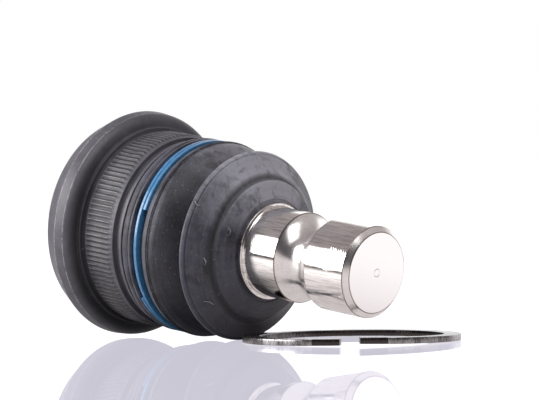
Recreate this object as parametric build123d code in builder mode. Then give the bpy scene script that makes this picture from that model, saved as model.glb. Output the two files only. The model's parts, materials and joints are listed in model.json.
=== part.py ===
from build123d import *
from math import asin, atan, atan2, cos, hypot, pi, radians, sin, sqrt, tan
import os

# Suspension ball joint, lying on its side, with the loose retaining ring beside it.
# Units are millimetres.  Stations run along the joint's own axis from the ball's
# centre towards the stud's tip, and radii are measured from that axis.

# Ball stud
ball_radius = 13.0
neck_radius = 7.0
neck_fillet = 1.0
neck_end = 21.5
seat_radius = 9.05
seat_start = 26.5
shoulder_back = 32.2
shoulder_thickness = 1.0
shoulder_radius = 10.75
shoulder_edge = 0.2
shank_radius = 10.0
shank_cove = 0.5
shank_length = 30.3
pinch_groove_radius = 5.4
pinch_groove_depth = 2.45
pinch_groove_from_shoulder = 13.73
tip_chamfer_length = 1.1
tip_chamfer_depth = 1.25

# Housing
flange_radius = 26.0
flange_front = -6.5
flange_edge = 0.4
flange_cone_start = -10.7
flange_back = -17.0
flange_back_radius = 22.8
rolled_rim_round = 2.0
rolled_lip_thickness = 0.6
rolled_lip_radius = 16.8
root_step_radius = 22.8
root_step_length = 0.85
serration_radius = 22.2
serration_depth = 0.45
serration_count = 120
serration_crest_share = 0.35
serration_end = 3.3
serration_chamfer = 0.5
land_radius = 21.7
circlip_groove_start = 3.95
circlip_groove_width = 1.6
circlip_groove_radius = 20.7
circlip_land_width = 0.8
circlip_land_radius = 21.3
boot_neck_radius = 19.0
boot_seat_depth = 0.8
boot_seat_width = 2.3
housing_front = 14.6
front_chamfer = 0.5
bearing_wall = 3.0
cavity_radius = ball_radius + bearing_wall
cavity_cone_start = 4.0
throat_station = 8.0
throat_radius = 12.3
mouth_radius = 15.1

# Cover plate, disc spring and bearing shells
cover_radius = 18.5
cover_thickness = 1.5
cover_dome_radius = 7.0
cover_dome_height = 0.4
cover_dome_slope = 1.0
spring_height = 1.0
spring_thickness = 0.7
spring_inner_radius = 8.0
spring_side_clearance = 1.0
spring_outer_radius = cavity_radius - spring_side_clearance
bearing_clearance = 0.05
bearing_back = -13.9
bearing_front = 7.0
bearing_lip_angle = radians(63)
grease_hole_radius = 4.5

# Clamp ring of the dust boot: one flat wire, wound to nearly two turns
clamp_start = 10.2
clamp_outer_radius = 22.05
clamp_wire_width = 0.98
clamp_wire_height = 1.65
clamp_pitch = 1.03
clamp_start_angle = radians(128.4)
clamp_turn = 664.0

# Dust boot and the steel insert in its small end
boot_gap = 0.3
clamp_gap = 0.15
bead_radius = 22.2
bead_edge_radius = 21.5
bead_line_station = 9.05
bead_line_radius = 21.75
band_radius = 21.7
flash_station = 15.25
flash_radius = 22.15
slope_middle_station = 18.9
slope_middle_radius = 20.45
first_slope_radius = 17.5
crease_station = 22.8
crease_radius = 16.4
crease_half_width = 1.1
rim_station = 25.0
rim_radius = 21.25
rim_round = 0.7
rim_corner_round = 0.45
rim_front_width = 0.25
cone_middle_station = 27.7
cone_middle_radius = 17.85
ridge_station = 30.8
ridge_radius = 15.15
ridge_step = 0.4
mouth_radius_of_boot = 11.6
wall = 1.9
insert_start = 27.9
insert_outer_radius = 10.2
insert_clearance = 0.1
insert_gap = 0.15
lip_gap = 0.3

# Retaining ring, lying flat beside the stud
ring_outer_radius = 24.0
ring_width = 3.75
ring_thickness = 1.4
ring_gap = 4.1
ring_tip_length = 6.4
ring_tip_step = 0.5
ring_gap_direction = radians(-49)
ring_from_boot = 2.98
ring_across = 9.2

# The joint lies on two circles: the flange's front edge and the boot's widest rim.
# Its axis tips down towards the stud by the angle at which both touch the ground.
flange_edge_station = flange_front - flange_edge
flange_edge_radius = flange_radius - flange_edge
rim_centre_radius = rim_radius - rim_round
rest_run = rim_station - flange_edge_station
rest_rise = flange_edge_radius - rim_centre_radius
edge_turn = asin((flange_edge - rim_round) / hypot(rest_run, rest_rise))
tilt = atan2(rest_rise, rest_run) + edge_turn
ball_height = flange_edge_station * sin(tilt) + flange_edge_radius * cos(tilt) + flange_edge

# The origin is under the middle of everything, so the ball's place follows from
# the rolled rim's lowest corner, the flange and the far side of the ring.
back_cone = atan((flange_radius - flange_back_radius) / (flange_cone_start - flange_back))
rim_arc_station = flange_back + rolled_rim_round
rim_arc_drop = (flange_cone_start - rim_arc_station) * tan(back_cone)
rim_arc_radius = flange_radius - rim_arc_drop - rolled_rim_round / cos(back_cone)
boot_low_ahead = rim_station * cos(tilt) - rim_centre_radius * sin(tilt)
ring_reach = ring_outer_radius + ring_from_boot
ring_ahead_of_ball = boot_low_ahead + sqrt(ring_reach**2 - ring_across**2)
low_x = rim_arc_station * cos(tilt) - rim_arc_radius * sin(tilt) - rolled_rim_round
high_x = ring_ahead_of_ball + ring_outer_radius
high_y = max(flange_radius, ring_across + ring_outer_radius)
ball_x = -(low_x + high_x) / 2
ball_y = (flange_radius - high_y) / 2

axis_direction = (cos(tilt), 0, -sin(tilt))
up_from_axis = (sin(tilt), 0, cos(tilt))
ball_centre = (ball_x, ball_y, ball_height)
joint_axis = Axis(ball_centre, axis_direction)
profile_plane = Plane(origin=ball_centre, x_dir=axis_direction, z_dir=(0, -1, 0))
end_plane = Plane(origin=ball_centre, x_dir=up_from_axis, z_dir=axis_direction)

os.makedirs("parts", exist_ok=True)

# Ball stud: one forging, turned and ground.  The round groove clears the pinch bolt.
shoulder_front = shoulder_back + shoulder_thickness
tip_station = shoulder_front + shank_length
groove_middle = shoulder_front + pinch_groove_from_shoulder
groove_centre_radius = shank_radius - pinch_groove_depth + pinch_groove_radius
neck_junction = sqrt(ball_radius**2 - neck_radius**2)

with BuildPart() as ball_stud:
    with BuildSketch(profile_plane) as stud_profile:
        with BuildLine():
            ball = ThreePointArc(
                (-ball_radius, 0), (0, ball_radius), (neck_junction, neck_radius)
            )
            Polyline(
                ball @ 1,
                (neck_end, neck_radius),
                (seat_start, seat_radius),
                (shoulder_back, seat_radius),
                (shoulder_back, shoulder_radius),
                (shoulder_front, shoulder_radius),
                (shoulder_front, shank_radius),
                (tip_station - tip_chamfer_length, shank_radius),
                (tip_station, shank_radius - tip_chamfer_depth),
                (tip_station, 0),
                ball @ 0,
            )
        make_face()
        with Locations((groove_middle, groove_centre_radius)):
            Circle(pinch_groove_radius, mode=Mode.SUBTRACT)
        corners = stud_profile.vertices()
        fillet(corners.sort_by_distance((neck_junction, neck_radius))[0], neck_fillet)
        corners = stud_profile.vertices()
        fillet(corners.sort_by_distance((shoulder_front, shank_radius))[0], shank_cove)
        corners = stud_profile.vertices()
        chamfer(corners.sort_by_distance((shoulder_front, shoulder_radius))[0], shoulder_edge)
    revolve(axis=joint_axis)
ball_stud.part.label = "ball_stud"
export_step(ball_stud.part, "parts/ball_stud.step")

# Cover plate: a pressed disc that closes the housing's back and holds the spring.
cover_back = flange_back + rolled_lip_thickness
cover_front = cover_back + cover_thickness

with BuildPart() as cover_plate:
    with BuildSketch(profile_plane):
        with BuildLine():
            Polyline(
                (cover_back - cover_dome_height, 0),
                (cover_back - cover_dome_height, cover_dome_radius),
                (cover_back, cover_dome_radius + cover_dome_slope),
                (cover_back, cover_radius),
                (cover_front, cover_radius),
                (cover_front, cover_dome_radius),
                (cover_front - cover_dome_height, cover_dome_radius - cover_dome_slope),
                (cover_front - cover_dome_height, 0),
                close=True,
            )
        make_face()
    revolve(axis=joint_axis)
cover_plate.part.label = "cover_plate"
export_step(cover_plate.part, "parts/cover_plate.step")

# Housing: forged and turned steel.  The flange stops it in the arm, the serrations
# grip the arm's bore, and the groove in front of them takes the retaining ring.
circlip_groove_end = circlip_groove_start + circlip_groove_width
boot_neck_start = circlip_groove_end + circlip_land_width
clamp_end = clamp_start + clamp_wire_width + clamp_pitch * clamp_turn / 360
boot_seat_end = clamp_start + boot_seat_width
boot_seat_radius = boot_neck_radius - boot_seat_depth

with BuildPart() as housing:
    with BuildSketch(profile_plane) as housing_profile:
        with BuildLine():
            Polyline(
                (flange_back, rolled_lip_radius),
                (flange_back, flange_back_radius),
                (flange_cone_start, flange_radius),
                (flange_front, flange_radius),
                (flange_front, root_step_radius),
                (flange_front + root_step_length, root_step_radius),
                (flange_front + root_step_length, land_radius),
                (circlip_groove_start, land_radius),
                (circlip_groove_start, circlip_groove_radius),
                (circlip_groove_end, circlip_groove_radius),
                (circlip_groove_end, circlip_land_radius),
                (boot_neck_start, circlip_land_radius),
                (boot_neck_start, boot_neck_radius),
                (clamp_start, boot_neck_radius),
                (clamp_start, boot_seat_radius),
                (boot_seat_end, boot_seat_radius),
                (boot_seat_end, boot_neck_radius),
                (housing_front, boot_neck_radius),
                (housing_front, mouth_radius),
                (throat_station, throat_radius),
                (cavity_cone_start, cavity_radius),
                (cover_front, cavity_radius),
                (cover_front, cover_radius),
                (cover_back, cover_radius),
                (cover_back, rolled_lip_radius),
                close=True,
            )
        make_face()
        corners = housing_profile.vertices()
        fillet(corners.sort_by_distance((flange_back, flange_back_radius))[0], rolled_rim_round)
        corners = housing_profile.vertices()
        fillet(corners.sort_by_distance((flange_front, flange_radius))[0], flange_edge)
        corners = housing_profile.vertices()
        chamfer(corners.sort_by_distance((housing_front, boot_neck_radius))[0], front_chamfer)
    revolve(axis=joint_axis)
    with BuildSketch(end_plane.offset(flange_front + root_step_length)):
        with BuildLine():
            tooth = 2 * pi / serration_count
            crest = tooth * serration_crest_share / 2
            root_radius = serration_radius - serration_depth
            Polyline(
                [
                    (radius * cos(turn * tooth + side), radius * sin(turn * tooth + side))
                    for turn in range(serration_count)
                    for side, radius in (
                        (-crest, serration_radius),
                        (crest, serration_radius),
                        (tooth / 2, root_radius),
                    )
                ],
                close=True,
            )
        make_face()
        Circle((cavity_radius + land_radius) / 2, mode=Mode.SUBTRACT)
    extrude(amount=serration_end - flange_front - root_step_length)
    with BuildSketch(profile_plane):
        with BuildLine():
            Polyline(
                (serration_end, land_radius),
                (serration_end, serration_radius + serration_depth),
                (serration_end - serration_chamfer, serration_radius + serration_depth),
                (serration_end - serration_chamfer, serration_radius),
                close=True,
            )
        make_face()
    revolve(axis=joint_axis, mode=Mode.SUBTRACT)
housing.part.label = "housing"
export_step(housing.part, "parts/housing.step")

# Disc spring: it presses the bearing shells onto the ball and takes up wear.
with BuildPart() as preload_spring:
    with BuildSketch(profile_plane):
        with BuildLine():
            Polyline(
                (bearing_back, spring_outer_radius),
                (bearing_back - spring_thickness, spring_outer_radius),
                (bearing_back - spring_height, spring_inner_radius),
                (bearing_back - spring_height + spring_thickness, spring_inner_radius),
                close=True,
            )
        make_face()
    revolve(axis=joint_axis)
preload_spring.part.label = "preload_spring"
export_step(preload_spring.part, "parts/preload_spring.step")

# Bearing shells: two acetal cups that carry the ball, split at its equator.
socket_radius = ball_radius + bearing_clearance
cone_fall = (cavity_radius - throat_radius) / (throat_station - cavity_cone_start)

with BuildPart() as upper_bearing_shell:
    with BuildSketch(profile_plane):
        with BuildLine():
            hole_station = -sqrt(socket_radius**2 - grease_hole_radius**2)
            socket = ThreePointArc(
                (0, socket_radius),
                (-socket_radius * sin(pi / 4), socket_radius * cos(pi / 4)),
                (hole_station, grease_hole_radius),
            )
            Polyline(
                socket @ 1,
                (bearing_back, grease_hole_radius),
                (bearing_back, cavity_radius),
                (0, cavity_radius),
                socket @ 0,
            )
        make_face()
    revolve(axis=joint_axis)
upper_bearing_shell.part.label = "upper_bearing_shell"
export_step(upper_bearing_shell.part, "parts/upper_bearing_shell.step")

with BuildPart() as lower_bearing_shell:
    with BuildSketch(profile_plane):
        with BuildLine():
            half_lip = (pi / 2 + bearing_lip_angle) / 2
            socket = ThreePointArc(
                (0, socket_radius),
                (socket_radius * cos(half_lip), socket_radius * sin(half_lip)),
                (socket_radius * cos(bearing_lip_angle), socket_radius * sin(bearing_lip_angle)),
            )
            Polyline(
                socket @ 1,
                (bearing_front, cavity_radius - cone_fall * (bearing_front - cavity_cone_start)),
                (cavity_cone_start, cavity_radius),
                (0, cavity_radius),
                socket @ 0,
            )
        make_face()
    revolve(axis=joint_axis)
lower_bearing_shell.part.label = "lower_bearing_shell"
export_step(lower_bearing_shell.part, "parts/lower_bearing_shell.step")

# Clamp ring: the wire's two ends lie side by side, past each other by most of a turn.
wire_middle_radius = clamp_outer_radius - clamp_wire_height / 2
wire_start_direction = (
    sin(tilt) * cos(clamp_start_angle),
    -sin(clamp_start_angle),
    cos(tilt) * cos(clamp_start_angle),
)
wire_start_plane = Plane(
    origin=end_plane.offset(clamp_start + clamp_wire_width / 2).origin,
    x_dir=wire_start_direction,
    z_dir=axis_direction,
)

with BuildPart() as straight_clamp_ring:
    with BuildLine():
        wire_path = Helix(
            pitch=clamp_pitch,
            height=clamp_pitch * clamp_turn / 360,
            radius=wire_middle_radius,
        )
    with BuildSketch(Plane(origin=wire_path @ 0, x_dir=(1, 0, 0), z_dir=wire_path % 0)):
        Rectangle(clamp_wire_height, clamp_wire_width)
    sweep(path=wire_path, is_frenet=True)

with BuildPart(wire_start_plane) as boot_clamp_ring:
    add(straight_clamp_ring.part)
boot_clamp_ring.part.label = "boot_clamp_ring"
export_step(boot_clamp_ring.part, "parts/boot_clamp_ring.step")

# Boot insert: a steel bush moulded into the boot's small end, running on the stud.
insert_end = shoulder_back - lip_gap

with BuildPart() as boot_insert:
    with BuildSketch(profile_plane):
        with BuildLine():
            insert_bore = seat_radius + insert_clearance
            Polyline(
                (insert_start, insert_bore),
                (insert_end, insert_bore),
                (insert_end, insert_outer_radius),
                (insert_start, insert_outer_radius),
                close=True,
            )
        make_face()
    revolve(axis=joint_axis)
boot_insert.part.label = "boot_insert"
export_step(boot_insert.part, "parts/boot_insert.step")

# Dust boot: moulded rubber with two beads over the housing's neck, a groove for the
# clamp ring, a moulding line, a deep crease and a wide rim before its small end.
boot_start = boot_neck_start + boot_gap
boot_bore = boot_neck_radius + boot_gap
boot_seat_bore = boot_seat_radius + boot_gap
groove_floor = clamp_outer_radius - clamp_wire_height - clamp_gap / 2
groove_left = clamp_start - clamp_gap
groove_right = clamp_end + clamp_gap
rim_back = rim_station - rim_round
rim_front = rim_station + rim_front_width
insert_room = insert_outer_radius + insert_gap
mouth_bottom = insert_end

with BuildPart() as dust_boot:
    with BuildSketch(profile_plane) as boot_profile:
        with BuildLine():
            start_face = Line((boot_start, boot_bore), (boot_start, bead_edge_radius))
            first_bead = ThreePointArc(
                start_face @ 1,
                ((boot_start + bead_line_station) / 2, bead_radius),
                (bead_line_station, bead_line_radius),
            )
            second_bead = ThreePointArc(
                first_bead @ 1,
                ((bead_line_station + groove_left) / 2, bead_radius - 0.05),
                (groove_left, bead_edge_radius),
            )
            groove = Polyline(
                second_bead @ 1,
                (groove_left, groove_floor),
                (groove_right, groove_floor),
                (groove_right, band_radius),
                (flash_station, flash_radius),
            )
            crease_left = crease_station - crease_half_width
            first_slope = ThreePointArc(
                groove @ 1,
                (slope_middle_station, slope_middle_radius),
                (crease_left, first_slope_radius),
            )
            crease = ThreePointArc(
                first_slope @ 1,
                (crease_station, crease_radius),
                (crease_station + crease_half_width, first_slope_radius),
            )
            rim_flank = Polyline(
                crease @ 1,
                (rim_back, rim_radius),
                (rim_front, rim_radius),
            )
            cone = ThreePointArc(
                rim_flank @ 1,
                (cone_middle_station, cone_middle_radius),
                (ridge_station, ridge_radius),
            )
            front = Polyline(
                cone @ 1,
                (ridge_station + ridge_step, ridge_radius - 2 * ridge_step),
                (shoulder_back, mouth_radius_of_boot),
                (mouth_bottom, mouth_radius_of_boot),
                (mouth_bottom, insert_room),
                (insert_start - insert_gap, insert_room),
                (insert_start - insert_gap, insert_room + wall),
                (cone_middle_station - wall / 2, cone_middle_radius - 1.5 * wall),
                (rim_station + wall / 2, crease_radius),
            )
            inner_crease = ThreePointArc(
                front @ 1,
                (crease_station, crease_radius - wall),
                (crease_left - wall, first_slope_radius),
            )
            Polyline(
                inner_crease @ 1,
                (flash_station + wall / 2, flash_radius - 1.3 * wall),
                (housing_front + boot_gap, flash_radius - 1.3 * wall),
                (housing_front + boot_gap, boot_bore),
                (boot_seat_end - boot_gap, boot_bore),
                (boot_seat_end - boot_gap, boot_seat_bore),
                (clamp_start + boot_gap, boot_seat_bore),
                (clamp_start + boot_gap, boot_bore),
                start_face @ 0,
            )
        make_face()
        for station in (rim_back, rim_front):
            corners = boot_profile.vertices()
            fillet(corners.sort_by_distance((station, rim_radius))[0], rim_corner_round)
    revolve(axis=joint_axis)
dust_boot.part.label = "dust_boot"
export_step(dust_boot.part, "parts/dust_boot.step")

# Retaining ring: punched from spring steel, with a slightly smaller radius at its tips.
ring_plane = Plane(
    origin=(ball_x + ring_ahead_of_ball, ball_y + ring_across, 0),
    x_dir=(cos(ring_gap_direction), sin(ring_gap_direction), 0),
)
tip_span = ring_gap + 2 * ring_tip_length

with BuildPart() as retaining_ring:
    with BuildSketch(ring_plane):
        Circle(ring_outer_radius)
        with Locations((ring_outer_radius, 0)):
            Rectangle(ring_outer_radius, tip_span, mode=Mode.SUBTRACT)
    extrude(amount=ring_thickness)
    with BuildSketch(ring_plane):
        Circle(ring_outer_radius - ring_tip_step)
    extrude(amount=ring_thickness)
    with BuildSketch(ring_plane):
        Circle(ring_outer_radius - ring_width)
        with Locations((ring_outer_radius, 0)):
            Rectangle(ring_outer_radius, ring_gap)
    extrude(amount=ring_thickness, mode=Mode.SUBTRACT)
retaining_ring.part.label = "retaining_ring"
export_step(retaining_ring.part, "parts/retaining_ring.step")
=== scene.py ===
import json
import math

import bmesh
import bpy
from mathutils import Matrix, Vector


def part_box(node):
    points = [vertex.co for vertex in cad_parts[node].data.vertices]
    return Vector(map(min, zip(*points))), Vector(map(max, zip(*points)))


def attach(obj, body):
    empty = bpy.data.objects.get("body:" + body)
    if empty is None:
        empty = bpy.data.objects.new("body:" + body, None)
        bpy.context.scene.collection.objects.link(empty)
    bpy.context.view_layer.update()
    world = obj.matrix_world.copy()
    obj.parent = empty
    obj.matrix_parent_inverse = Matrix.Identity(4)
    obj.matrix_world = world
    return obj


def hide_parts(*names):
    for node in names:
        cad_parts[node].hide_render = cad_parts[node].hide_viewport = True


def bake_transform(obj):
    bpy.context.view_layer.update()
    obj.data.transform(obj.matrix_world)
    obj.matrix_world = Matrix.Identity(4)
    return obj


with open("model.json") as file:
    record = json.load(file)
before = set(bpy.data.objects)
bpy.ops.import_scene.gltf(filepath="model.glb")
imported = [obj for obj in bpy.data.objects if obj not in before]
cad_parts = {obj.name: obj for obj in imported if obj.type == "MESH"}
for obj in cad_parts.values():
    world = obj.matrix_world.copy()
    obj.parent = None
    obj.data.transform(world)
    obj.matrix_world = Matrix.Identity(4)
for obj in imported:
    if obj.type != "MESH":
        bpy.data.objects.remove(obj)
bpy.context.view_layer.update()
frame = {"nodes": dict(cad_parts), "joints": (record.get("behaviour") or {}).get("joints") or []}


# ---- Housing -------------------------------------------------------------------------
# Forged steel cup, turned all over and phosphated nearly black.  Its flange stops it in
# the arm, and 120 serrations are rolled into the barrel in front of the flange.

MM = 0.001
ball_hinge = frame["joints"][0]
axis_direction = Vector(ball_hinge["axis"]).normalized()
up_from_axis = Vector((-axis_direction.z, 0, axis_direction.x))
joint_frame = Matrix.Translation(Vector(ball_hinge["pos_m"])) @ Matrix(
    (axis_direction, (0, 1, 0), up_from_axis)
).transposed().to_4x4()
joint_scale = Matrix.Diagonal((MM, MM, MM, 1))
sharp_angle = math.radians(14)


def outline(corners):
    """A wire of (station, radius, rounding) corners, in millimetres, on the joint's axis."""
    shape = bmesh.new()
    drawn = [shape.verts.new((station, 0, radius)) for station, radius, _ in corners]
    for start, end in zip(drawn, drawn[1:]):
        shape.edges.new((start, end))
    for corner, (_, _, rounding) in zip(drawn, corners):
        if rounding:
            bmesh.ops.bevel(
                shape,
                geom=[corner],
                offset=rounding,
                offset_type="OFFSET",
                segments=8,
                profile=0.5,
                affect="VERTICES",
                material=-1,
            )
    return shape


def turn(shape, steps):
    """Spins a drawn outline once about the joint's axis and closes its poles."""
    bmesh.ops.spin(
        shape,
        geom=shape.verts[:] + shape.edges[:],
        cent=(0, 0, 0),
        axis=(1, 0, 0),
        dvec=(0, 0, 0),
        angle=2 * math.pi,
        steps=steps,
        use_merge=True,
    )
    bmesh.ops.remove_doubles(shape, verts=shape.verts[:], dist=0.0005)
    return shape


def finish_piece(name, shape, place, material, sharp=sharp_angle):
    """Puts a finished shape in its place in the row frame and gives it its finish."""
    bmesh.ops.recalc_face_normals(shape, faces=shape.faces[:])
    shape.transform(place @ joint_scale)
    mesh = bpy.data.meshes.new(name)
    shape.to_mesh(mesh)
    shape.free()
    mesh.shade_smooth()
    mesh.set_sharp_from_angle(angle=sharp)
    mesh.materials.append(material)
    piece = bpy.data.objects.new(name, mesh)
    bpy.context.scene.collection.objects.link(piece)
    return piece


def add_node(tree, kind, values=None, **settings):
    """Adds a node, with its settings and with values or links for its inputs."""
    node = tree.nodes.new(kind)
    for setting, value in settings.items():
        setattr(node, setting, value)
    for socket, value in (values or {}).items():
        if isinstance(value, bpy.types.NodeSocket):
            tree.links.new(value, node.inputs[socket])
        else:
            node.inputs[socket].default_value = value
    return node


def maths(tree, operation, first, second=0.0, clamp=False):
    return add_node(
        tree, "ShaderNodeMath", {0: first, 1: second}, operation=operation, use_clamp=clamp
    ).outputs[0]


def product(tree, first, *others):
    for other in others:
        first = maths(tree, "MULTIPLY", first, other)
    return first


def away_from(tree, value, middle):
    """How far a value lies from a middle, on either side."""
    return maths(tree, "ABSOLUTE", maths(tree, "SUBTRACT", value, middle))


def blend_colours(tree, factor, first, second):
    return add_node(
        tree,
        "ShaderNodeMix",
        {0: factor, 6: first, 7: second},
        data_type="RGBA",
        blend_type="MIX",
        clamp_factor=True,
    ).outputs[2]


def span(tree, value, low, high, start=0.0, end=1.0):
    """Maps low..high to start..end, and holds the ends."""
    return add_node(
        tree, "ShaderNodeMapRange", {0: value, 1: low, 2: high, 3: start, 4: end}, clamp=True
    ).outputs[0]


def noise(tree, vector, scale, detail=2.0, roughness=0.5, distortion=0.0):
    return add_node(
        tree,
        "ShaderNodeTexNoise",
        {
            "Vector": vector,
            "Scale": scale,
            "Detail": detail,
            "Roughness": roughness,
            "Distortion": distortion,
        },
    ).outputs[0]


def new_group(name, inputs, outputs):
    """An empty shader node group with float inputs and typed outputs."""
    tree = bpy.data.node_groups.new(name, "ShaderNodeTree")
    for title, kind in inputs:
        tree.interface.new_socket(name=title, in_out="INPUT", socket_type=kind)
    for title, kind in outputs:
        tree.interface.new_socket(name=title, in_out="OUTPUT", socket_type=kind)
    return tree, tree.nodes.new("NodeGroupInput"), tree.nodes.new("NodeGroupOutput")


def place_group(tree, group, values=None):
    return add_node(tree, "ShaderNodeGroup", values, node_tree=group)


def new_material(name, **sockets):
    """A material with a plain Principled shader, whose even values stay on its sockets."""
    material = bpy.data.materials.new(name)
    material.use_nodes = True
    shader = material.node_tree.nodes["Principled BSDF"]
    for socket, value in sockets.items():
        shader.inputs[socket.replace("_", " ")].default_value = value
    return material, material.node_tree, shader


def wire(tree, shader, **links):
    for socket, source in links.items():
        tree.links.new(source, shader.inputs[socket.replace("_", " ")])


def bump(tree, height, strength, distance):
    return add_node(
        tree,
        "ShaderNodeBump",
        {"Height": height, "Strength": strength, "Distance": distance},
    ).outputs[0]


# Where a point lies on the joint: in millimetres from the ball's centre, along the axis,
# out from it, and round it.
on_joint, _, given = new_group(
    "place on the joint",
    [],
    [
        ("Position", "NodeSocketVector"),
        ("Station", "NodeSocketFloat"),
        ("Radius", "NodeSocketFloat"),
        ("Rings", "NodeSocketVector"),
        ("Round", "NodeSocketFloat"),
    ],
)
back_to_joint = (joint_frame @ joint_scale).inverted()
joint_place, joint_turn, _ = back_to_joint.decompose()
centred = add_node(
    on_joint,
    "ShaderNodeMapping",
    {
        "Vector": on_joint.nodes.new("ShaderNodeTexCoord").outputs["Object"],
        "Location": joint_place,
        "Rotation": joint_turn.to_euler(),
        "Scale": (1 / MM, 1 / MM, 1 / MM),
    },
    vector_type="POINT",
).outputs[0]
apart = add_node(on_joint, "ShaderNodeSeparateXYZ", {0: centred}).outputs
squares = maths(
    on_joint,
    "ADD",
    product(on_joint, apart[1], apart[1]),
    product(on_joint, apart[2], apart[2]),
)
radius_here = maths(on_joint, "SQRT", squares)
ring_vector = add_node(
    on_joint,
    "ShaderNodeCombineXYZ",
    {0: apart[0], 1: radius_here, 2: maths(on_joint, "MULTIPLY", apart[2], 0.02)},
).outputs[0]
round_here = maths(on_joint, "ARCTAN2", apart[1], apart[2])
for title, source in (
    ("Position", centred),
    ("Station", apart[0]),
    ("Radius", radius_here),
    ("Rings", ring_vector),
    ("Round", round_here),
):
    on_joint.links.new(source, given.inputs[title])


# Dust: pale grains of two sizes that lie on every dry surface.
dust_grains, asked, given = new_group(
    "dust grains",
    [
        ("Position", "NodeSocketVector"),
        ("Grains per mm", "NodeSocketFloat"),
        ("Amount", "NodeSocketFloat"),
    ],
    [("Mask", "NodeSocketFloat")],
)
cells = add_node(
    dust_grains,
    "ShaderNodeTexVoronoi",
    {"Vector": asked.outputs["Position"], "Scale": asked.outputs["Grains per mm"]},
)
shade = add_node(dust_grains, "ShaderNodeSeparateColor", {0: cells.outputs["Color"]}).outputs[0]
grain_size = product(dust_grains, shade, asked.outputs["Amount"])
patches = span(dust_grains, noise(dust_grains, asked.outputs["Position"], 0.16, 3.0), 0.42, 0.66)
grain = maths(dust_grains, "LESS_THAN", cells.outputs["Distance"], grain_size)
dust_grains.links.new(
    maths(dust_grains, "MULTIPLY", grain, maths(dust_grains, "ADD", patches, 0.25), True),
    given.inputs["Mask"],
)


# Tool lines: the fine rings that a turning tool leaves, or a mould that was turned.
tool_lines, asked, given = new_group(
    "tool lines",
    [
        ("Rings", "NodeSocketVector"),
        ("Lines per mm", "NodeSocketFloat"),
    ],
    [("Height", "NodeSocketFloat")],
)
fine = noise(tool_lines, asked.outputs["Rings"], asked.outputs["Lines per mm"], 3.0, 0.65)
coarse = noise(
    tool_lines,
    asked.outputs["Rings"],
    maths(tool_lines, "MULTIPLY", asked.outputs["Lines per mm"], 0.23),
    1.0,
)
tool_lines.links.new(
    maths(tool_lines, "ADD", maths(tool_lines, "MULTIPLY", coarse, 0.5), fine),
    given.inputs["Height"],
)

# A worn edge: a broken line where handling has rubbed a turned edge bright.
worn_edge, asked, given = new_group(
    "worn edge",
    [
        ("Position", "NodeSocketVector"),
        ("Station", "NodeSocketFloat"),
        ("Edge at", "NodeSocketFloat"),
        ("Width", "NodeSocketFloat"),
    ],
    [("Mask", "NodeSocketFloat")],
)
from_edge = away_from(worn_edge, asked.outputs["Station"], asked.outputs["Edge at"])
ragged = noise(worn_edge, asked.outputs["Position"], 0.9, 5.0, 0.7)
reach = product(worn_edge, asked.outputs["Width"], span(worn_edge, ragged, 0.38, 0.62))
worn_edge.links.new(maths(worn_edge, "LESS_THAN", from_edge, reach), given.inputs["Mask"])

flange_front = -6.5
tooth_start = -4.2
tooth_end = 2.4
tooth_crest = 22.2
tooth_root = 21.78
tooth_count = 120

phosphate, nodes, shader = new_material("phosphated steel", Metallic=0.0)
here = place_group(nodes, on_joint).outputs
lines = place_group(
    nodes, tool_lines, {"Rings": here["Rings"], "Lines per mm": 3.2}
).outputs[0]
cloud = noise(nodes, here["Position"], 0.35, 5.0, 0.6)
crystals = noise(nodes, here["Position"], 7.0, 2.0, 0.7)
dust = place_group(
    nodes,
    dust_grains,
    {"Position": here["Position"], "Grains per mm": 1.9, "Amount": 0.13},
).outputs[0]
nicks = product(
    nodes,
    span(nodes, noise(nodes, here["Position"], 1.7, 4.0, 0.62, 0.6), 0.66, 0.72),
    span(nodes, noise(nodes, here["Position"], 0.13, 2.0), 0.52, 0.62),
)
coat_colour = blend_colours(
    nodes, span(nodes, cloud, 0.3, 0.7), (0.074, 0.071, 0.088, 1), (0.128, 0.123, 0.15, 1)
)
coat_colour = blend_colours(
    nodes, product(nodes, crystals, 0.5), coat_colour, (0.1, 0.098, 0.11, 1)
)
edge_wear = [
    place_group(
        nodes,
        worn_edge,
        {
            "Position": here["Position"],
            "Station": here["Station"],
            "Edge at": edge,
            "Width": width,
        },
    ).outputs[0]
    for edge, width in ((-10.7, 0.24), (-8.3, 0.2), (2.45, 0.16), (-4.3, 0.2))
]
on_flange = span(nodes, here["Radius"], 24.6, 24.9)
on_crest = span(nodes, here["Radius"], 21.98, 22.12)
flange_wear = product(nodes, maths(nodes, "MAXIMUM", edge_wear[0], edge_wear[1]), on_flange)
crest_wear = product(nodes, maths(nodes, "MAXIMUM", edge_wear[2], edge_wear[3]), on_crest)
wear = maths(nodes, "MAXIMUM", flange_wear, crest_wear)
in_teeth = product(
    nodes,
    span(nodes, here["Station"], tooth_start - 0.4, tooth_start),
    span(nodes, here["Station"], tooth_end + 0.5, tooth_end),
)
# Painted shade: the roots between the teeth are darkened nearly to black, as if shade lay in
# them.
tooth_root_shade = product(nodes, in_teeth, span(nodes, here["Radius"], 22.14, 21.86), 0.85)
coat_colour = blend_colours(nodes, tooth_root_shade, coat_colour, (0.018, 0.017, 0.02, 1))
at_top = span(nodes, maths(nodes, "COSINE", here["Round"]), 0.35, 0.9)
# Painted shade: the teeth are darkened on the sides and underneath and left lighter at the top,
# where the light falls.
coat_colour = blend_colours(
    nodes,
    product(nodes, in_teeth, span(nodes, at_top, 0.0, 1.0, 0.75, 0.2)),
    coat_colour,
    (0.035, 0.033, 0.039, 1),
)
# Painted highlight: a bright broken line along the tooth crests, standing in for their glint.
painted_crest_highlight = product(
    nodes,
    in_teeth,
    span(nodes, here["Radius"], 22.12, 22.19),
    span(nodes, cloud, 0.4, 0.56, 0.3, 1.3),
)
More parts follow.
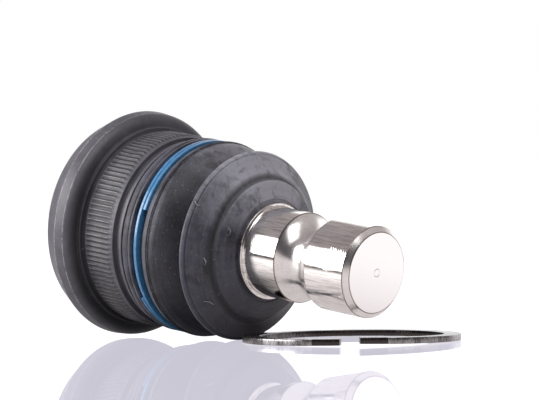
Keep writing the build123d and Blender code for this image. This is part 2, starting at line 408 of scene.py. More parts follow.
# Painted shade: the flange's front face is darkened, less so towards the top.
flange_face_shade = product(
    nodes,
    span(nodes, here["Station"], flange_front - 0.8, flange_front - 0.1),
    span(nodes, here["Station"], flange_front + 1.9, flange_front + 1.4),
    maths(nodes, "SUBTRACT", 1.0, product(nodes, at_top, 0.95)),
    0.75,
)
coat_colour = blend_colours(nodes, flange_face_shade, coat_colour, (0.02, 0.019, 0.023, 1))
bright = maths(nodes, "MAXIMUM", product(nodes, dust, 0.7), nicks, True)
bright = maths(nodes, "MAXIMUM", bright, product(nodes, wear, 0.5))
bright = maths(nodes, "MAXIMUM", bright, product(nodes, painted_crest_highlight, 0.55))
wire(
    nodes,
    shader,
    Base_Color=blend_colours(nodes, bright, coat_colour, (0.42, 0.41, 0.43, 1)),
    Roughness=span(nodes, maths(nodes, "ADD", lines, crystals), 0.7, 1.8, 0.36, 0.58),
    Normal=bump(
        nodes,
        maths(nodes, "ADD", lines, product(nodes, crystals, 0.7)),
        0.35,
        0.00005,
    ),
)

housing_outline = [
    (-16.4, 18.5, 0.0),
    (-16.4, 16.8, 0.1),
    (-17.0, 16.8, 0.25),
    (-17.0, 22.8, 1.9),
    (-10.7, 26.0, 0.25),
    (flange_front, 25.55, 2.1),
    (flange_front, 22.8, 0.15),
    (-5.65, 22.8, 0.2),
    (-5.65, tooth_root, 0.15),
    (tooth_start - 0.7, tooth_root, 0.0),
    (tooth_start, tooth_crest, 0.0),
    (tooth_end, tooth_crest, 0.0),
    (tooth_end + 0.9, 21.74, 0.0),
    (3.95, 21.7, 0.12),
    (3.95, 20.7, 0.15),
    (5.55, 20.7, 0.15),
    (5.55, 21.3, 0.12),
    (6.35, 21.3, 0.12),
    (6.35, 19.0, 0.0),
    (10.2, 19.0, 0.15),
    (10.2, 18.2, 0.15),
    (12.5, 18.2, 0.15),
    (12.5, 19.0, 0.15),
    (14.1, 19.0, 0.0),
    (14.6, 18.5, 0.0),
    (14.6, 15.1, 0.3),
    (8.0, 12.3, 0.4),
    (4.0, 16.0, 0.3),
    (-14.9, 16.0, 0.0),
    (-14.9, 18.5, 0.0),
    (-16.4, 18.5, 0.0),
]
barrel = turn(outline(housing_outline), 4 * tooth_count)
tooth_step = 2 * math.pi / (4 * tooth_count)
for vert in barrel.verts:
    on_tooth = tooth_start - 0.01 < vert.co.x < tooth_end + 0.01
    if on_tooth and vert.co.yz.length > tooth_crest - 0.01:
        turned = round(math.atan2(vert.co.y, vert.co.z) / tooth_step) % 4
        root_share = (0.0, 0.5, 1.0, 0.5)[turned]
        vert.co.yz *= 1 - root_share * (1 - tooth_root / tooth_crest)
housing = finish_piece("housing_shell", barrel, joint_frame, phosphate)
station_of = [(back_to_joint @ vert.co).x for vert in housing.data.vertices]
for edge in housing.data.edges:
    if all(tooth_start - 0.75 < station_of[end] < tooth_end + 0.95 for end in edge.vertices):
        edge.use_edge_sharp = False
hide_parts("housing")
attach(housing, "housing_body")


# ---- Cover plate, disc spring and bearing shells ------------------------------------
# The pressed cover is rolled into the housing's back.  Behind it lie the disc spring and
# two acetal shells that carry the ball, none of which shows once the joint is closed.


def dress_node(name, material):
    """Gives a solid that stays as it is in the frame its finish."""
    materials = frame["nodes"][name].data.materials
    materials.clear()
    materials.append(material)


dress_node("cover_plate", phosphate)

acetal, nodes, shader = new_material("moulded acetal", Roughness=0.45)
here = place_group(nodes, on_joint).outputs
flow = noise(nodes, here["Position"], 0.5, 3.0)
wire(
    nodes,
    shader,
    Base_Color=blend_colours(nodes, flow, (0.78, 0.76, 0.7, 1), (0.86, 0.85, 0.8, 1)),
    Normal=bump(nodes, noise(nodes, here["Position"], 5.0), 0.2, 0.00005),
)
dress_node("upper_bearing_shell", acetal)
dress_node("lower_bearing_shell", acetal)


# ---- Ball stud -----------------------------------------------------------------------
# One steel forging.  The shank is ground bright, the round groove for the pinch bolt is
# turned, and the end is faced, which leaves a small ring at its centre.

shank_radius = 10.0
shoulder_front = 33.2
groove_middle = shoulder_front + 13.73
groove_radius = 5.4
groove_depth = 2.45
tip_station = 63.5
chamfer_start = tip_station - 1.1
ball_radius = 13.0
neck_radius = 7.0
neck_junction = math.sqrt(ball_radius**2 - neck_radius**2)
groove_centre = shank_radius - groove_depth + groove_radius
half_groove = math.sqrt(groove_radius**2 - (groove_centre - shank_radius) ** 2)


def stretch(tree, vector, shares):
    return add_node(
        tree, "ShaderNodeVectorMath", {0: vector, 1: shares}, operation="MULTIPLY"
    ).outputs[0]


ground_steel, nodes, shader = new_material("ground steel", Metallic=1.0)
here = place_group(nodes, on_joint).outputs
lines = place_group(
    nodes, tool_lines, {"Rings": here["Rings"], "Lines per mm": 9.0}
).outputs[0]
slanting = maths(
    nodes, "ADD", product(nodes, here["Station"], 9.0), product(nodes, here["Round"], 62.0)
)
chatter = product(
    nodes,
    maths(nodes, "SINE", slanting),
    span(nodes, noise(nodes, here["Position"], 0.3, 2.0), 0.45, 0.6),
    span(nodes, here["Station"], 51.7, 52.2, 0.0, 1.8),
    span(nodes, here["Station"], chamfer_start - 0.1, chamfer_start - 0.4),
)
tarnish = noise(nodes, here["Position"], 0.22, 4.0, 0.6)
streaks = noise(nodes, stretch(nodes, here["Position"], (0.2, 3.6, 3.6)), 0.8, 4.0, 0.7)
steel_colour = blend_colours(
    nodes, span(nodes, tarnish, 0.35, 0.7), (0.95, 0.93, 0.92, 1), (0.84, 0.81, 0.79, 1)
)
steel_colour = blend_colours(
    nodes,
    product(
        nodes,
        span(nodes, streaks, 0.47, 0.62, 0.0, 0.8),
        span(nodes, here["Radius"], shank_radius - 0.4, shank_radius - 0.05, 0.25, 1.0),
    ),
    steel_colour,
    (0.55, 0.5, 0.46, 1),
)
end_face = span(nodes, here["Station"], tip_station - 0.2, tip_station - 0.05)
steel_colour = blend_colours(nodes, end_face, steel_colour, (0.96, 0.94, 0.945, 1))
from_edge = 1.0
for edge_station in (groove_middle - 4.5, groove_middle + 4.5, chamfer_start, tip_station):
    from_edge = maths(
        nodes, "MINIMUM", away_from(nodes, here["Station"], edge_station), from_edge
    )
edge_line = product(
    nodes, span(nodes, from_edge, 0.14, 0.06), span(nodes, here["Radius"], 8.6, 8.72)
)
steel_colour = blend_colours(nodes, edge_line, steel_colour, (0.3, 0.235, 0.2, 1))
groove_finish = product(
    nodes,
    span(nodes, here["Radius"], shank_radius - 0.02, shank_radius - 0.1),
    span(nodes, here["Station"], chamfer_start - 0.1, chamfer_start - 0.2, 0.0, 0.13),
)
tip_finish = maths(
    nodes,
    "SUBTRACT",
    span(nodes, here["Station"], chamfer_start - 0.1, chamfer_start + 0.1, 0.0, 0.15),
    product(nodes, end_face, 0.08),
)
turned_finish = maths(nodes, "MAXIMUM", groove_finish, tip_finish)
wire(
    nodes,
    shader,
    Base_Color=steel_colour,
    Roughness=maths(
        nodes,
        "ADD",
        span(nodes, maths(nodes, "ADD", lines, streaks), 0.8, 1.9, 0.06, 0.17),
        turned_finish,
    ),
    Normal=bump(
        nodes,
        product(
            nodes,
            maths(nodes, "ADD", product(nodes, lines, 0.5), chatter),
            maths(nodes, "SUBTRACT", 1.0, product(nodes, end_face, 0.7)),
        ),
        0.3,
        0.00002,
    ),
)

stud_shape = outline(
    [
        (neck_junction, neck_radius, 0.9),
        (21.5, neck_radius, 0.0),
        (26.5, 9.05, 0.0),
        (32.2, 9.05, 0.0),
        (32.2, 10.75, 0.12),
        (shoulder_front, 10.75, 0.12),
        (shoulder_front, shank_radius, 0.3),
        (shoulder_front + 0.5, shank_radius, 0.0),
        (shoulder_front + 1.0, shank_radius, 0.0),
        (groove_middle - half_groove - 0.2, shank_radius, 0.0),
        (groove_middle - half_groove, shank_radius, 0.0),
    ]
)
stud_tip = outline(
    [
        (groove_middle + half_groove, shank_radius, 0.22),
        (groove_middle + half_groove + 0.4, shank_radius, 0.0),
        (chamfer_start - 0.3, shank_radius, 0.0),
        (chamfer_start, shank_radius, 0.12),
        (tip_station, shank_radius - 1.25, 0.06),
        (tip_station, shank_radius - 1.5, 0.0),
        (tip_station, 1.1, 0.0),
        (tip_station, 0.95, 0.03),
        (tip_station - 0.05, 0.85, 0.03),
        (tip_station, 0.75, 0.03),
        (tip_station, 0.6, 0.0),
        (tip_station, 0.0, 0.0),
    ]
)
tip_mesh = bpy.data.meshes.new("stud tip outline")
stud_tip.to_mesh(tip_mesh)
stud_tip.free()
stud_shape.from_mesh(tip_mesh)
bpy.data.meshes.remove(tip_mesh)
groove_angle = 2 * math.asin(half_groove / groove_radius)
groove_start = min(
    stud_shape.verts,
    key=lambda vert: (vert.co - Vector((groove_middle - half_groove, 0, shank_radius))).length,
)
bmesh.ops.spin(
    stud_shape,
    geom=[groove_start],
    cent=(groove_middle, 0, groove_centre),
    axis=(0, 1, 0),
    dvec=(0, 0, 0),
    angle=-groove_angle,
    steps=40,
    use_merge=False,
)
ball_top = min(stud_shape.verts, key=lambda vert: vert.co.x)
bmesh.ops.spin(
    stud_shape,
    geom=[ball_top],
    cent=(0, 0, 0),
    axis=(0, 1, 0),
    dvec=(0, 0, 0),
    angle=-(math.pi - math.atan2(ball_top.co.z, ball_top.co.x)),
    steps=48,
    use_merge=False,
)
bmesh.ops.remove_doubles(stud_shape, verts=stud_shape.verts[:], dist=0.001)
stud = finish_piece(
    "stud", turn(stud_shape, 256), joint_frame, ground_steel, math.radians(12)
)
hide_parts("ball_stud")
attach(stud, "stud")


# ---- Dust boot -----------------------------------------------------------------------
# One rubber moulding, matt and dusty, with two beads at the housing, a groove for the
# clamp ring, one deep crease and a wide rim.  It is held as two pieces that meet on the
# slope behind the crease.

crease_station = 22.8
slope_start = 15.4
rim_back = 24.5

rubber, nodes, shader = new_material(
    "boot rubber", Sheen_Weight=0.25, Sheen_Roughness=0.4, Sheen_Tint=(0.85, 0.84, 0.92, 1)
)
here = place_group(nodes, on_joint).outputs
coarse_lines = place_group(
    nodes, tool_lines, {"Rings": here["Rings"], "Lines per mm": 0.9}
).outputs[0]
fine_lines = place_group(
    nodes, tool_lines, {"Rings": here["Rings"], "Lines per mm": 4.0}
).outputs[0]
bloom = noise(nodes, here["Position"], 0.14, 5.0, 0.62, 0.4)
mottle = noise(nodes, here["Position"], 0.42, 5.0, 0.66, 0.8)
smears = noise(nodes, here["Rings"], 1.1, 4.0, 0.62)
skin = noise(nodes, here["Position"], 6.0, 2.0, 0.6)
dust = place_group(
    nodes,
    dust_grains,
    {"Position": here["Position"], "Grains per mm": 1.6, "Amount": 0.21},
).outputs[0]
rubber_colour = blend_colours(
    nodes, span(nodes, bloom, 0.38, 0.62), (0.0135, 0.0135, 0.0205, 1), (0.088, 0.087, 0.12, 1)
)
rubber_colour = blend_colours(
    nodes,
    span(nodes, maths(nodes, "ADD", smears, mottle), 0.96, 1.3, 0.0, 0.8),
    rubber_colour,
    (0.13, 0.128, 0.162, 1),
)
in_fold = product(
    nodes,
    span(nodes, here["Station"], slope_start, slope_start + 1.2),
    span(nodes, here["Station"], rim_back, rim_back - 0.7),
)
upwards = maths(nodes, "COSINE", here["Round"])
on_top = span(nodes, upwards, 0.25, 0.95)
# Painted shade: the slope down into the crease is darkened, more so deeper in and less towards
# the top.
painted_fold_shade = product(
    nodes,
    in_fold,
    span(nodes, here["Station"], 17.0, 21.5, 0.62, 0.9),
    span(nodes, on_top, 0.75, 1.0, 1.0, 0.25),
)
rubber_colour = blend_colours(nodes, painted_fold_shade, rubber_colour, (0.0135, 0.0135, 0.0205, 1))
# The crown and the rim are made paler towards the top, in patches.
on_crown = product(
    nodes,
    span(nodes, here["Station"], slope_start + 0.2, slope_start + 1.6, 0.0, 0.4),
    span(nodes, on_top, 0.7, 1.0),
)
on_rim = span(nodes, here["Station"], rim_back, rim_back + 1.0, 0.0, 0.68)
patchy = maths(nodes, "ADD", bloom, mottle)
paler_on_top = product(
    nodes,
    on_top,
    maths(nodes, "ADD", on_crown, on_rim),
    span(nodes, patchy, 0.8, 1.1, 0.4, 1.2),
)
rubber_colour = blend_colours(nodes, paler_on_top, rubber_colour, (0.42, 0.415, 0.48, 1))
# Painted light: the underside of the small end is lightened, standing in for light thrown up
# from the board.
painted_light_from_below = product(
    nodes,
    span(nodes, upwards, -0.3, -0.9, 0.0, 0.6),
    span(nodes, here["Station"], rim_back, rim_back + 1.0),
)
rubber_colour = blend_colours(nodes, painted_light_from_below, rubber_colour, (0.065, 0.064, 0.08, 1))
in_valley = product(
    nodes,
    span(nodes, here["Station"], 28.5, 29.2),
    span(nodes, here["Station"], 30.6, 30.1, 0.0, 0.75),
)
seam = product(
    nodes,
    maths(nodes, "LESS_THAN", away_from(nodes, here["Station"], slope_start + 0.05), 0.22),
    span(nodes, mottle, 0.44, 0.52, 0.0, 0.9),
)
rubber_colour = blend_colours(
    nodes, maths(nodes, "MAXIMUM", in_valley, seam), rubber_colour, (0.01, 0.0098, 0.012, 1)
)
wire(
    nodes,
    shader,
    Base_Color=blend_colours(
        nodes, product(nodes, dust, 0.55), rubber_colour, (0.4, 0.4, 0.4, 1)
    ),
    Roughness=maths(
        nodes,
        "SUBTRACT",
        span(nodes, patchy, 0.7, 1.3, 0.38, 0.56),
        product(nodes, in_fold, 0.1),
    ),
    Normal=bump(
        nodes,
        maths(
            nodes,
            "ADD",
            product(nodes, fine_lines, 0.8),
            maths(nodes, "ADD", product(nodes, coarse_lines, 1.6), skin),
        ),
        0.6,
        0.00012,
    ),
)

parting_station = 20.35
parting_radius = 18.975
parting_wall = 2.025
small_end = [
    (parting_station, parting_radius, 0.0),
    (21.1, 18.15, 0.5),
    (22.0, 17.0, 0.3),
    (crease_station, 16.4, 0.1),
    (23.7, 17.6, 0.3),
    (24.45, 20.2, 0.3),
    (24.6, 21.25, 0.35),
    (25.5, 21.25, 0.45),
    (25.8, 20.85, 0.1),
    (25.8, 20.5, 0.1),
    (26.1, 20.55, 0.1),
    (26.9, 19.2, 0.4),
    (27.9, 17.75, 0.5),
    (29.05, 16.5, 0.3),
    (29.4, 15.7, 0.12),
    (30.55, 15.45, 0.2),
    (30.85, 15.0, 0.2),
    (31.95, 12.2, 0.1),
    (32.15, 11.6, 0.1),
    (31.9, 11.45, 0.0),
    (31.9, 10.35, 0.0),
    (27.75, 10.35, 0.0),
    (27.75, 12.25, 0.2),
    (26.75, 15.0, 0.3),
    (25.95, 16.4, 0.3),
    (crease_station, 14.5, 0.5),
    (parting_station, parting_radius - parting_wall, 0.0),
    (parting_station, parting_radius, 0.0),
]
rim_to_neck = small_end[6:20]
large_end = [
    (parting_station, parting_radius - parting_wall, 0.0),
    (19.8, 17.5, 0.5),
    (16.2, 19.68, 0.3),
    (14.9, 19.68, 0.0),
    (14.9, 19.3, 0.0),
    (12.2, 19.3, 0.0),
    (12.2, 18.5, 0.2),
    (10.5, 18.5, 0.2),
    (10.5, 19.3, 0.0),
    (6.65, 19.3, 0.0),
    (6.65, 21.2, 0.4),
    (7.5, 21.85, 0.4),
    (8.4, 22.15, 0.2),
    (9.0, 22.0, 0.05),
    (9.1, 21.8, 0.05),
    (9.2, 22.0, 0.05),
    (9.8, 22.0, 0.15),
    (10.05, 21.5, 0.15),
    (10.05, 20.35, 0.0),
    (13.25, 20.35, 0.0),
    (13.25, 21.6, 0.2),
    (14.5, 21.95, 0.3),
    (14.85, 22.0, 0.0),
    (15.0, 22.2, 0.0),
    (15.12, 22.2, 0.0),
    (15.2, 21.95, 0.0),
    (15.32, 21.95, 0.0),
    (15.42, 22.12, 0.0),
    (15.55, 22.1, 0.0),
    (15.65, 21.9, 0.0),
    (16.9, 21.65, 0.5),
    (18.1, 21.0, 0.5),
    (19.6, 19.8, 0.6),
    (parting_station, parting_radius, 0.0),
]

lint, nodes, shader = new_material("lint", Roughness=0.8)
here = place_group(nodes, on_joint).outputs
wire(
    nodes,
    shader,
    Base_Color=blend_colours(
        nodes,
        noise(nodes, here["Position"], 2.0),
        (0.5, 0.5, 0.53, 1),
        (0.9, 0.9, 0.92, 1),
    ),
)
fibres = (
    (
        (24.9, 8.2),
        (25.6, 5.5),
        (26.3, 0.4),
        (26.5, -4.0),
        (26.75, -8.2),
        (27.3, -8.0),
        (28.0, -8.6),
    ),
    ((28.0, -8.6), (28.5, -11.0), (28.9, -14.0)),
    ((26.4, 0.2), (27.0, 2.2), (27.5, 4.8), (28.1, 9.7)),
    ((30.8, -2.1), (31.2, -3.6), (31.5, -2.9), (31.8, -1.3), (32.1, -1.3)),
    ((25.4, 19.6), (25.7, 18.9), (26.1, 18.0)),
    ((31.2, 76.0), (31.45, 73.5), (31.4, 70.1), (31.15, 69.0)),
    ((25.4, 61.0), (25.9, 62.5), (26.3, 62.0)),
    ((28.4, 96.0), (28.7, 98.5), (28.6, 101.0)),
    ((27.2, 128.0), (27.8, 130.5), (28.1, 134.0)),
)


def skin_radius(station):
    """How far the boot's outer skin lies from the axis at a station in front of the rim."""
    for (near, first, _), (far, second, _) in zip(rim_to_neck, rim_to_neck[1:]):
        if near <= station <= far:
            return first + (second - first) * (station - near) / max(far - near, 0.01)
    return rim_to_neck[-1][1]


def lay_fibre(shape, path):
    """A hair of lint, a strip that lies through (station, degrees round) points."""
    drawn = [
        shape.verts.new(
            Matrix.Rotation(math.radians(turned), 3, "X")
            @ Vector((station + 0.08, 0, skin_radius(station) + 0.08))
        )
        for station, turned in path
    ]
    hair = [shape.edges.new(ends) for ends in zip(drawn, drawn[1:])]
    grown = bmesh.ops.extrude_edge_only(shape, edges=hair)["geom"]
    side = [part for part in grown if isinstance(part, bmesh.types.BMVert)]
    strip = [part for part in grown if isinstance(part, bmesh.types.BMFace)]
    bmesh.ops.translate(shape, vec=(0.1, 0.0, 0.1), verts=side)
    thick = bmesh.ops.solidify(shape, geom=strip, thickness=0.05)["geom"]
    for part in strip + [part for part in thick if isinstance(part, bmesh.types.BMFace)]:
        part.material_index = 1


small_shape = turn(outline(small_end), 192)
for fibre in fibres:
    lay_fibre(small_shape, fibre)
boot_small_end = finish_piece(
    "boot_small_end", small_shape, joint_frame, rubber, math.radians(50)
)
boot_small_end.data.materials.append(lint)
boot_large_end = finish_piece(
    "boot_large_end",
    turn(outline(large_end), 192),
    joint_frame,
    rubber,
    math.radians(50),
)
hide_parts("dust_boot")


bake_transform(boot_small_end)
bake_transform(boot_large_end)


# ---- Clamp ring ----------------------------------------------------------------------
# A flat spring wire, painted blue and wound to nearly two turns, that holds the boot's
# beads in the housing's neck.  Both of its ends are plain cuts.

wire_width = 0.86
wire_height = 1.65
wire_outer_radius = 22.05
wire_start = 10.2
wire_pitch = 1.03
wire_start_angle = math.radians(128.4)
wire_turn = math.radians(664)
wire_steps = 400

blue_paint, nodes, shader = new_material(
    "blue paint on wire", Coat_Weight=0.4, Coat_Roughness=0.2
)
here = place_group(nodes, on_joint).outputs
worn = noise(nodes, here["Position"], 1.2, 4.0, 0.65)
brush_marks = noise(nodes, here["Rings"], 5.0, 3.0, 0.6)
wire(
    nodes,
    shader,
    Base_Color=blend_colours(
        nodes, span(nodes, worn, 0.35, 0.75), (0.042, 0.185, 0.4, 1), (0.095, 0.3, 0.55, 1)
    ),
    Roughness=span(nodes, brush_marks, 0.3, 0.7, 0.26, 0.42),
    Normal=bump(nodes, brush_marks, 0.2, 0.00003),
)


def bar_section(width, height, rounding):
    """The cross-section of a bar with rounded corners, upright above the X axis."""
    shape = bmesh.new()
    bmesh.ops.create_grid(shape, x_segments=1, y_segments=1, size=0.5)
    bmesh.ops.scale(shape, vec=(width, height, 1), verts=shape.verts[:])
    bmesh.ops.bevel(
        shape,
        geom=shape.verts[:],
        offset=rounding,
        offset_type="OFFSET",
        segments=3,
        profile=0.5,
        affect="VERTICES",
        material=-1,
    )
    upright = Matrix.Rotation(math.radians(90), 3, "X")
    bmesh.ops.rotate(shape, cent=(0, 0, 0), matrix=upright, verts=shape.verts[:])
    return shape


def wind(shape, axis, start, turned, steps, rise=0.0):
    """Sweeps a section round an axis from the start, with so much rise in one step."""
    bmesh.ops.rotate(
        shape, cent=(0, 0, 0), matrix=Matrix.Rotation(start, 3, axis), verts=shape.verts[:]
    )
    bmesh.ops.spin(
        shape,
        geom=shape.verts[:] + shape.edges[:] + shape.faces[:],
        cent=(0, 0, 0),
        axis=axis,
        dvec=axis * rise,
        angle=turned,
        steps=steps,
        use_merge=False,
    )


wire_shape = bar_section(wire_width, wire_height, 0.16)
bmesh.ops.translate(
    wire_shape,
    vec=(wire_start + wire_width / 2, 0, wire_outer_radius - wire_height / 2),
    verts=wire_shape.verts[:],
)
wire_rise = wire_pitch * wire_turn / (2 * math.pi) / wire_steps
wind(wire_shape, Vector((1, 0, 0)), wire_start_angle, wire_turn, wire_steps, wire_rise)
clamp_ring = finish_piece(
    "clamp_wire", wire_shape, joint_frame, blue_paint, math.radians(40)
)
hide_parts("boot_clamp_ring")
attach(clamp_ring, "housing_body")


# ---- Retaining ring, boot insert and disc spring -------------------------------------
# The open ring is punched from spring steel and left as punched, with rough bright edges.
# Its two tips are narrower and curl up a little.  The bush in the boot's small end and
# the disc spring are of the same steel.

ring_outer_radius = 24.0
ring_width = 3.75
ring_thickness = 1.4
ring_gap = 4.1
ring_tip_length = 6.4
ring_tip_step = 0.5
ring_step_ramp = 1.2
ring_tip_lifts = (0.62, 0.28)
ring_curled = math.radians(110)
ring_gap_direction = math.radians(-49)
ring_steps = 240


def measure_along(tree, vector, direction):
    return add_node(
        tree, "ShaderNodeVectorMath", {0: vector, 1: direction}, operation="DOT_PRODUCT"
    ).outputs["Value"]


spring_steel, nodes, shader = new_material("spring steel", Metallic=1.0)
low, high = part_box("retaining_ring")
ring_middle = Vector(((low.x + high.x) / 2, (low.y + high.y) / 2, 0))
object_mm = add_node(
    nodes,
    "ShaderNodeMapping",
    {
        "Vector": nodes.nodes.new("ShaderNodeTexCoord").outputs["Object"],
        "Location": -ring_middle / MM,
        "Scale": (1 / MM, 1 / MM, 1 / MM),
    },
).outputs[0]
torn = noise(nodes, stretch(nodes, object_mm, (1.0, 1.0, 0.25)), 3.2, 4.0, 0.7)
stain = noise(nodes, object_mm, 0.25, 3.0)
out_from_middle = add_node(
    nodes,
    "ShaderNodeVectorMath",
    {0: stretch(nodes, object_mm, (1.0, 1.0, 0.0))},
    operation="LENGTH",
).outputs["Value"]
level = add_node(nodes, "ShaderNodeSeparateXYZ", {0: object_mm}).outputs[2]
tip_radius = ring_outer_radius - ring_tip_step - 0.06
tip_side = maths(nodes, "LESS_THAN", away_from(nodes, out_from_middle, tip_radius), 0.1)
across = measure_along(nodes, object_mm, (0.72, 0.69, 0.0))
bore_side = product(
    nodes,
    maths(nodes, "LESS_THAN", out_from_middle, ring_outer_radius - ring_width + 0.1),
    span(nodes, across, -17.0, -7.0, 0.15, 1.0),
)
unpolished = product(
    nodes,
    span(nodes, level, 0.08, 0.16),
    span(nodes, level, 1.92, 1.84),
    maths(nodes, "MAXIMUM", tip_side, bore_side),
)
wire(
    nodes,
    shader,
    Base_Color=blend_colours(
        nodes,
        unpolished,
        blend_colours(
            nodes,
            span(nodes, maths(nodes, "ADD", torn, stain), 0.8, 1.25),
            (0.1, 0.093, 0.095, 1),
            (0.5, 0.485, 0.495, 1),
        ),
        blend_colours(nodes, torn, (0.035, 0.027, 0.028, 1), (0.11, 0.095, 0.095, 1)),
    ),
    Roughness=span(nodes, torn, 0.3, 0.7, 0.16, 0.34),
    Normal=bump(nodes, torn, 0.5, 0.00006),
)
dress_node("boot_insert", spring_steel)
dress_node("preload_spring", spring_steel)

ring_place = Matrix.Translation(ring_middle)
ring_place @= Matrix.Rotation(ring_gap_direction, 4, "Z")
half_gap_angle = math.asin(ring_gap / 2 / (ring_outer_radius - ring_width / 2))
ring_shape = bar_section(ring_width, ring_thickness, 0.14)
bmesh.ops.translate(
    ring_shape,
    vec=(ring_outer_radius - ring_width / 2, 0, ring_thickness / 2),
    verts=ring_shape.verts[:],
)
ring_turn = 2 * (math.pi - half_gap_angle)
wind(ring_shape, Vector((0, 0, 1)), half_gap_angle, ring_turn, ring_steps)
tip_angle = (ring_gap / 2 + ring_tip_length) / ring_outer_radius
ramp_angle = tip_angle + ring_step_ramp / ring_outer_radius
for vert in ring_shape.verts:
    reach = vert.co.xy.length
    if reach > ring_outer_radius - 1:
        round_ring = abs(math.atan2(vert.co.y, vert.co.x))
        share = min(max((ramp_angle - round_ring) / (ramp_angle - tip_angle), 0.0), 1.0)
        vert.co.xy *= (reach - share * ring_tip_step) / reach
for vert in ring_shape.verts:
    round_ring = math.atan2(vert.co.y, vert.co.x)
    tip_lift = ring_tip_lifts[0] if round_ring > 0 else ring_tip_lifts[1]
    vert.co.z += tip_lift * max(0.0, 1 - abs(round_ring) / ring_curled) ** 1.7
ring = finish_piece(
    "open_ring", ring_shape, ring_place, spring_steel, math.radians(35)
)
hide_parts("retaining_ring")
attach(ring, "loose_ring")


# ---- Table, light and camera ---------------------------------------------------------
# The joint lies on white gloss board in front of a white wall, with a large soft light
# at the left, a second one high at the right and a plain level of light all round.

table_shape = bmesh.new()
bmesh.ops.create_grid(table_shape, x_segments=1, y_segments=1, size=3.0)
table_mesh = bpy.data.meshes.new("table")
table_shape.to_mesh(table_mesh)
table_shape.free()
table = bpy.data.objects.new("table", table_mesh)
bpy.context.scene.collection.objects.link(table)

gloss_board = bpy.data.materials.new("white gloss board")
gloss_board.use_nodes = True
nodes = gloss_board.node_tree
nodes.nodes.clear()
ray = nodes.nodes.new("ShaderNodeLightPath").outputs
diffuse = add_node(nodes, "ShaderNodeBsdfDiffuse", {"Color": (0.5, 0.5, 0.5, 1)}).outputs[0]


def gloss_white(glow_colour, mirror_colour):
    glow = add_node(nodes, "ShaderNodeEmission", {"Color": glow_colour}).outputs[0]
    mirror = add_node(
        nodes, "ShaderNodeBsdfGlossy", {"Color": mirror_colour, "Roughness": 0.0}
    ).outputs[0]
    return add_node(nodes, "ShaderNodeAddShader", {0: glow, 1: mirror}).outputs[0]


faint = add_node(nodes, "ShaderNodeBsdfDiffuse", {"Color": (0.03, 0.03, 0.03, 1)}).outputs[0]
seen_board = gloss_white((0.55, 0.54, 0.62, 1), (0.48, 0.48, 0.48, 1))
from_camera = add_node(nodes, "ShaderNodeAddShader", {0: seen_board, 1: faint}).outputs[0]
on_board = nodes.nodes.new("ShaderNodeTexCoord").outputs["Object"]
from_middle = add_node(
    nodes, "ShaderNodeVectorMath", {0: on_board}, operation="LENGTH"
).outputs["Value"]
beside = measure_along(nodes, on_board, (0.3, 0.95, 0.0))
# Painted shadow: in the steel's reflections the board glows darker near the joint and full white
# further out.
board_glow_with_shadow = blend_colours(
    nodes, span(nodes, from_middle, 0.02, 0.07), (0.66, 0.62, 0.62, 1), (0.8, 0.75, 0.755, 1)
)
board_glow_with_shadow = blend_colours(
    nodes, span(nodes, beside, 0.02, 0.08), board_glow_with_shadow, (1.08, 1.04, 1.04, 1)
)
# Painted shadow: the board's glow is made nearly black round the boot's foot.
from_boot = add_node(
    nodes,
    "ShaderNodeVectorMath",
    {0: on_board, 1: (-0.018, -0.004, 0.0)},
    operation="DISTANCE",
).outputs["Value"]
board_glow_with_shadow = blend_colours(
    nodes, span(nodes, from_boot, 0.028, 0.013), board_glow_with_shadow, (0.06, 0.055, 0.06, 1)
)
near = span(nodes, from_middle, 0.36, 0.3)
board_glow_with_shadow = blend_colours(nodes, near, (0.03, 0.028, 0.028, 1), board_glow_with_shadow)
glancing = add_node(nodes, "ShaderNodeFresnel", {"IOR": 1.5}).outputs[0]
from_steel = gloss_white(board_glow_with_shadow, product(nodes, glancing, 0.2, near))
board = add_node(
    nodes, "ShaderNodeMixShader", {0: ray["Is Glossy Ray"], 1: diffuse, 2: from_steel}
).outputs[0]
board = add_node(
    nodes, "ShaderNodeMixShader", {0: ray["Is Camera Ray"], 1: board, 2: from_camera}
).outputs[0]
add_node(nodes, "ShaderNodeOutputMaterial", {"Surface": board})
table_mesh.materials.append(gloss_board)

world = bpy.data.worlds.new("studio")
bpy.context.scene.world = world
world.use_nodes = True
nodes = world.node_tree
nodes.nodes.clear()
ray = nodes.nodes.new("ShaderNodeLightPath").outputs
direction = nodes.nodes.new("ShaderNodeTexCoord").outputs["Generated"]
height = add_node(nodes, "ShaderNodeSeparateXYZ", {0: direction}).outputs[2]
camera_azimuth = math.radians(43.5986)
away = measure_along(
    nodes, direction, (-math.sin(camera_azimuth), math.cos(camera_azimuth), 0)
)
rightwards = measure_along(
    nodes, direction, (math.cos(camera_azimuth), math.sin(camera_azimuth), 0)
)
to_right = span(nodes, rightwards, -0.4, 0.3)
ceiling = blend_colours(nodes, to_right, (0.2, 0.175, 0.172, 1), (0.31, 0.28, 0.265, 1))
ceiling_in_steel = blend_colours(
    nodes, to_right, (0.33, 0.3, 0.305, 1), (0.48, 0.445, 0.44, 1)
)
ceiling = blend_colours(nodes, ray["Is Glossy Ray"], ceiling, ceiling_in_steel)
front = blend_colours(
    nodes, span(nodes, height, 0.45, 0.75), (0.075, 0.07, 0.078, 1), (0.26, 0.24, 0.235, 1)
)
room = blend_colours(nodes, span(nodes, away, -0.5, -0.1), front, ceiling)
room = blend_colours(nodes, span(nodes, height, 0.02, 0.05), (0.01, 0.01, 0.01, 1), room)
back_wall = product(
    nodes,
    span(nodes, away, 0.58, 0.76),
    span(nodes, height, 0.6, 0.5),
    span(nodes, rightwards, -0.17, -0.11),
)
surround = blend_colours(nodes, back_wall, room, (1.3, 1.3, 1.3, 1))
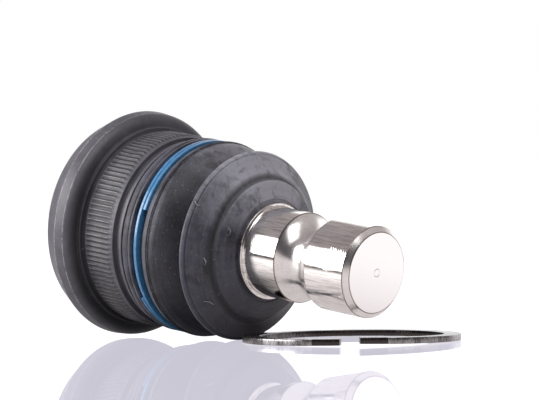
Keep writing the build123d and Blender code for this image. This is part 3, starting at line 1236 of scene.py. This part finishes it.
surround = blend_colours(nodes, ray["Is Camera Ray"], surround, (1.0, 1.0, 1.0, 1))
background = add_node(nodes, "ShaderNodeBackground", {"Color": surround}).outputs[0]
add_node(nodes, "ShaderNodeOutputWorld", {"Surface": background})


def facing(azimuth, elevation):
    """The direction from the joint to a light or to the camera."""
    return Vector(
        (
            math.sin(azimuth) * math.cos(elevation),
            -math.cos(azimuth) * math.cos(elevation),
            math.sin(elevation),
        )
    )


def soft_box(name, aim, distance, azimuth, elevation, width, height, power):
    lamp = bpy.data.lights.new(name, "AREA")
    lamp.shape = "RECTANGLE"
    lamp.size = width
    lamp.size_y = height
    lamp.energy = power
    back = facing(azimuth, elevation)
    holder = bpy.data.objects.new(name, lamp)
    holder.location = aim + distance * back
    holder.rotation_euler = back.to_track_quat("Z", "Y").to_euler()
    bpy.context.scene.collection.objects.link(holder)


light_aim = Vector((0, 0, 0.03))
soft_box("left soft box", light_aim, 0.6, math.radians(-42), math.radians(18), 0.46, 0.36, 3.9)
soft_box("high soft box", light_aim, 0.6, math.radians(54), math.radians(56), 0.56, 0.36, 1.7)

picture_width = 540
focal_pixels = 2792.67
camera_elevation = math.radians(0.159)
camera_roll = math.radians(-0.7746)
camera_distance = 0.61705
camera_aim = Vector((0.0061048, -0.0036, 0.031164))

back = facing(camera_azimuth, camera_elevation)
level_right = Vector((0, 0, 1)).cross(back).normalized()
level_up = back.cross(level_right)
right = level_right * math.cos(camera_roll) + level_up * math.sin(camera_roll)
up = level_up * math.cos(camera_roll) - level_right * math.sin(camera_roll)
lens = bpy.data.cameras.new("camera")
lens.sensor_width = 36.0
lens.lens = focal_pixels / picture_width * lens.sensor_width
lens.clip_start = 0.01
lens.clip_end = 50.0
camera = bpy.data.objects.new("camera", lens)
bpy.context.scene.collection.objects.link(camera)
camera.matrix_world = Matrix.Translation(camera_aim + camera_distance * back) @ Matrix(
    (right, up, back)
).transposed().to_4x4()
bpy.context.scene.camera = camera
bpy.context.scene.view_settings.view_transform = "Standard"
